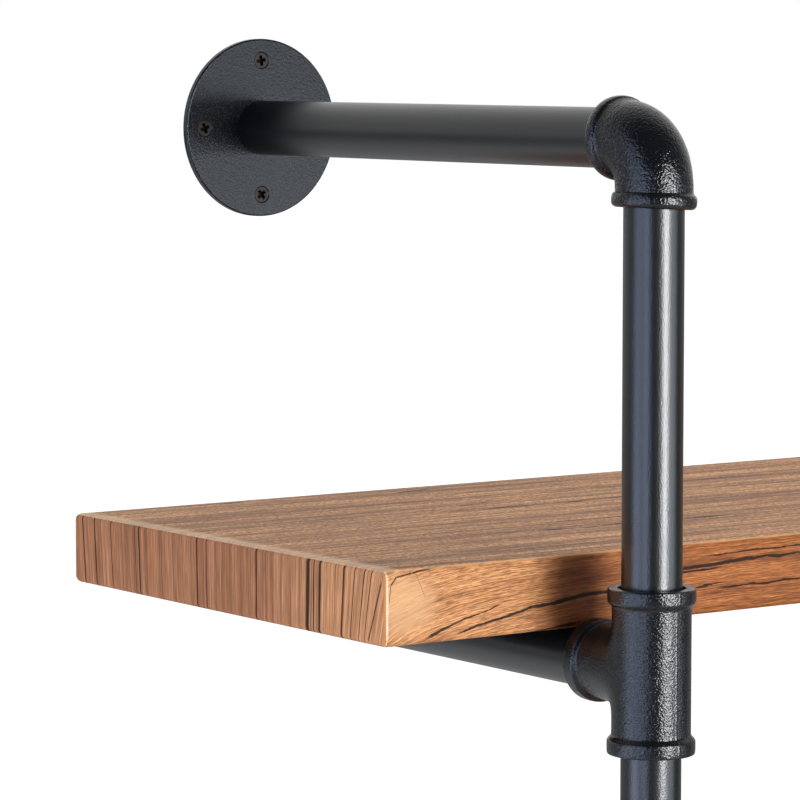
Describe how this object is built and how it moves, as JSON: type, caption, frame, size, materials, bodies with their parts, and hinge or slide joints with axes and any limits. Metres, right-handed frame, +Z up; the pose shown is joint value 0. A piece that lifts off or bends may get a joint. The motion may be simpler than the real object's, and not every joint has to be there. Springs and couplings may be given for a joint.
{
  "type": "pipe shelving unit",
  "caption": "Wall-hung shelving unit: black pipe frames with elbows, tees and round wall flanges carry thick wood-grain boards on arms that reach back to the wall.",
  "frame": {"origin": "on the wall plane, midway between the four wall flanges", "axes": "+X along the shelves to the right, +Y into the wall, +Z up"},
  "size_m": [1.02, 0.3288, 0.9634],
  "materials": {
    "tube": "satin black powder coat, fine orange peel",
    "flange": "black powder coat with a fine texture",
    "fitting": "rough casting under glossy black coat",
    "wall_screw": "brown-grey phosphate",
    "bolt": "zinc plated",
    "insert": "turned steel",
    "plug": "matte black",
    "shelf": "brown wood grain with dark streaks, satin"
  },
  "bodies": {
    "root": {"bottom_shelf": "shelf", "bottom_shelf_screws": "bolt", "left_bottom_arm": "tube", "left_bottom_arm_insert": "insert", "left_bottom_elbow": "fitting", "left_bottom_flange_bolt": "bolt", "left_bottom_upright": "tube", "left_bottom_wall_flange": "flange", "left_bottom_wall_screws": "wall_screw", "left_lower_arm_plug": "plug", "left_lower_shelf_arm": "tube", "left_lower_tee": "fitting", "left_middle_upright": "tube", "left_top_arm": "tube", "left_top_arm_insert": "insert", "left_top_elbow": "fitting", "left_top_flange_bolt": "bolt", "left_top_wall_flange": "flange", "left_top_wall_screws": "wall_screw", "left_upper_arm_plug": "plug", "left_upper_shelf_arm": "tube", "left_upper_tee": "fitting", "left_upper_upright": "tube", "lower_shelf": "shelf", "lower_shelf_screws": "bolt", "right_bottom_arm": "tube", "right_bottom_arm_insert": "insert", "right_bottom_elbow": "fitting", "right_bottom_flange_bolt": "bolt", "right_bottom_upright": "tube", "right_bottom_wall_flange": "flange", "right_bottom_wall_screws": "wall_screw", "right_lower_arm_plug": "plug", "right_lower_shelf_arm": "tube", "right_lower_tee": "fitting", "right_middle_upright": "tube", "right_top_arm": "tube", "right_top_arm_insert": "insert", "right_top_elbow": "fitting", "right_top_flange_bolt": "bolt", "right_top_wall_flange": "flange", "right_top_wall_screws": "wall_screw", "right_upper_arm_plug": "plug", "right_upper_shelf_arm": "tube", "right_upper_tee": "fitting", "right_upper_upright": "tube", "upper_shelf": "shelf", "upper_shelf_screws": "bolt"}
  },
  "joints": []
}
